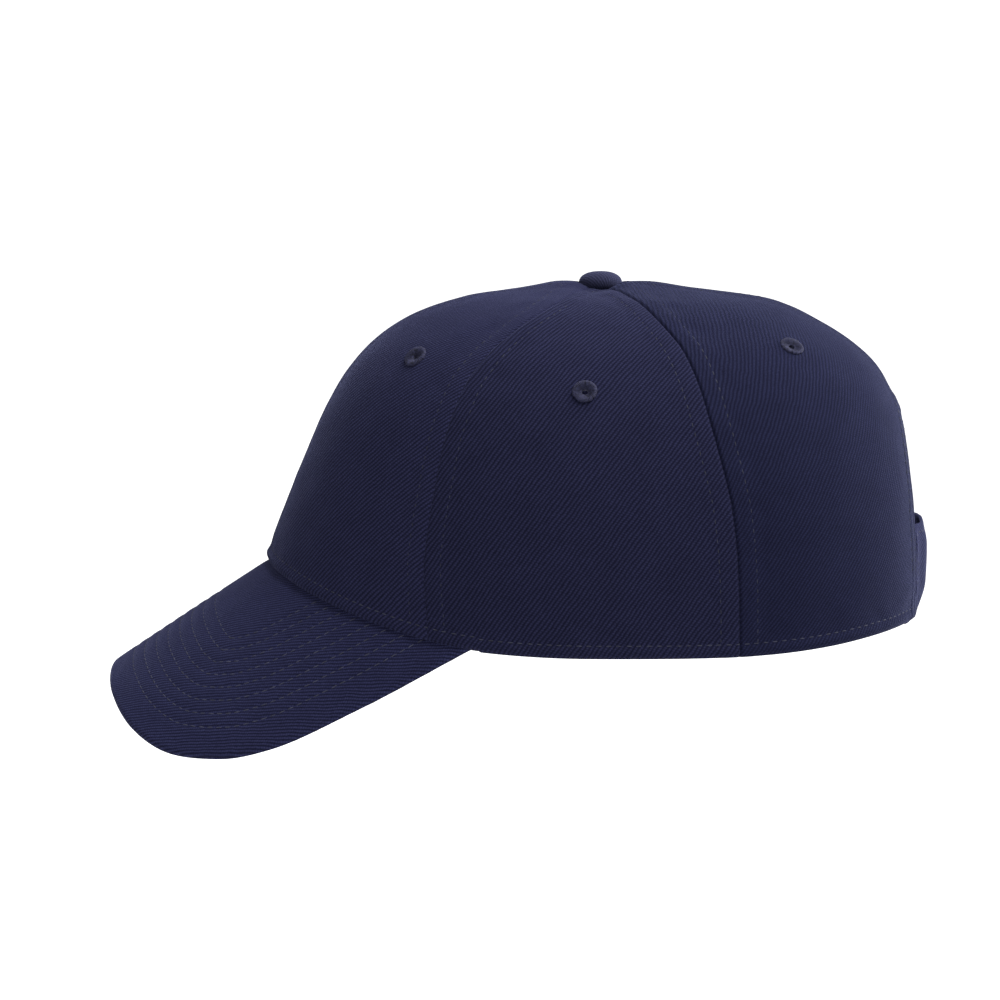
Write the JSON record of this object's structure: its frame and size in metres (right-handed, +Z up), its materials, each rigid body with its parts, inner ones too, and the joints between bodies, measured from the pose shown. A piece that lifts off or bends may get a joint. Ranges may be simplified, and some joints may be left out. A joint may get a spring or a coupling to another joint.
{
  "type": "baseball cap",
  "caption": "Six-panel structured baseball cap in dark twill, with a curved stitched bill, sewn eyelets, a cloth-covered top button and a hook-and-loop strap at the back.",
  "frame": {"origin": "centre of the head opening, level with the lowest edge of the crown", "axes": "+Z up, the bill points to -Y, and the wearer's left is +X"},
  "size_m": [0.1552, 0.2672, 0.1538],
  "materials": {
    "crown_cloth": "matte navy twill",
    "bill_cloth": "matte navy twill",
    "strap_cloth": "matte navy twill",
    "sewing_thread": "satin embroidery thread",
    "seam_tape": "matte plain weave",
    "sweatband_cloth": "matte cotton twill",
    "buckram": "stiff open mesh",
    "button_metal": "plain",
    "bill_board": "matte",
    "loop_pile": "fuzzy loop pile",
    "hook_plastic": "fine moulded hooks"
  },
  "bodies": {
    "crown": {"arch_binding": "seam_tape", "back_left_panel": "crown_cloth", "back_left_seam_tape": "seam_tape", "back_right_panel": "crown_cloth", "back_right_seam_tape": "seam_tape", "button_back": "button_metal", "button_cover": "crown_cloth", "button_shell": "button_metal", "centre_seam_tape": "seam_tape", "closure_tab": "strap_cloth", "eyelet_back_left": "sewing_thread", "eyelet_back_right": "sewing_thread", "eyelet_front_left": "sewing_thread", "eyelet_front_right": "sewing_thread", "eyelet_side_left": "sewing_thread", "eyelet_side_right": "sewing_thread", "front_left_buckram": "buckram", "front_left_panel": "crown_cloth", "front_left_seam_tape": "seam_tape", "front_right_buckram": "buckram", "front_right_panel": "crown_cloth", "front_right_seam_tape": "seam_tape", "loop_tape": "loop_pile", "side_left_panel": "crown_cloth", "side_right_panel": "crown_cloth", "strap_sewn_end": "strap_cloth", "sweatband": "sweatband_cloth", "visor_board": "bill_board", "visor_top_cover": "bill_cloth", "visor_under_cover": "bill_cloth"},
    "strap": {"closure_strap": "strap_cloth", "hook_tape": "hook_plastic"}
  },
  "joints": [
    {"name": "strap_peel", "type": "hinge", "parent": "crown", "child": "strap", "pos_m": [-0.0214, 0.10556, 0.019], "axis": [0, 0, 1], "range_deg": [0, 110]}
  ]
}
